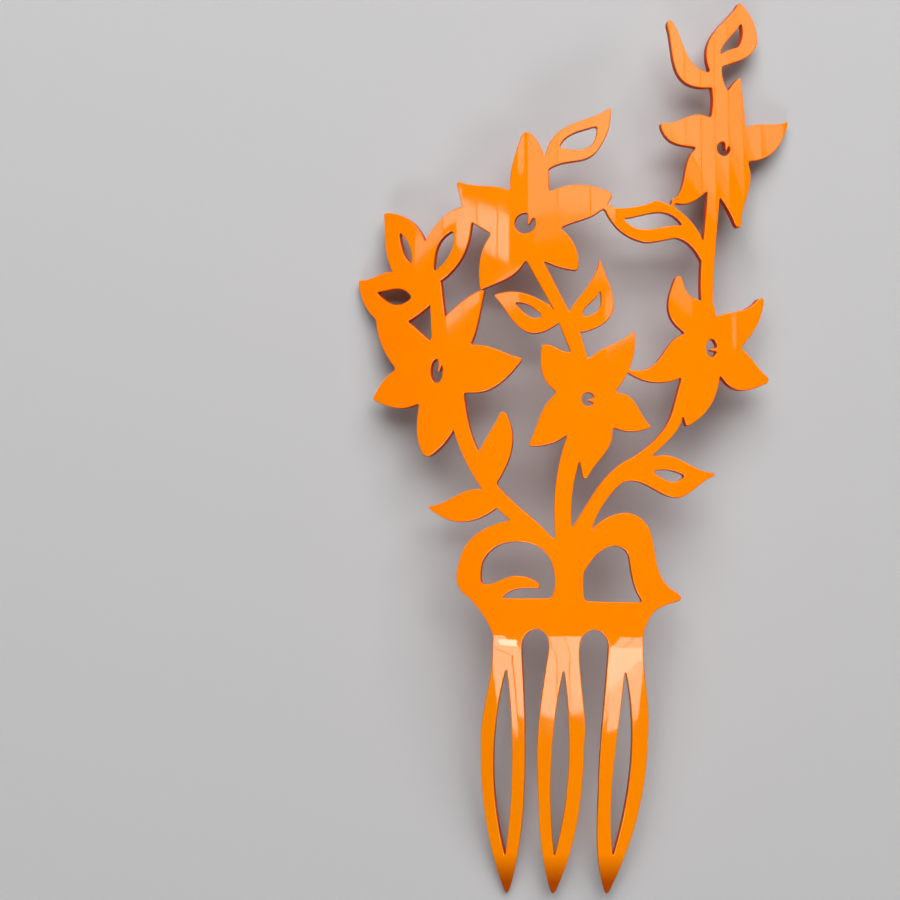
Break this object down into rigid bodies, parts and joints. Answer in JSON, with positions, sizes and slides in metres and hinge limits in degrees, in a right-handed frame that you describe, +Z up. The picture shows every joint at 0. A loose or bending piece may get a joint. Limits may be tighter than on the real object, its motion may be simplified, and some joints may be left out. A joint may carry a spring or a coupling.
{
  "type": "mantilla comb (peineta)",
  "caption": "Ornamental hair comb cut from one curved sheet of polished plastic, with an openwork crown of flowers, leaves and stems and slotted teeth bent down from it.",
  "frame": {"origin": "middle of the comb's length and width, on the surface that the comb lies on", "axes": "+Z up from that surface, out of the comb's convex face; +Y along the comb from the teeth to the crown; +X to the right, seen from above with the crown at the top. The comb lies as in the picture, convex face up, on its tooth tip and on the edges of two petals and leaves"},
  "size_m": [0.1206, 0.2489, 0.0275],
  "materials": {
    "orange_acetate": "polished"
  },
  "bodies": {
    "root": {"comb": "orange_acetate"}
  },
  "joints": []
}
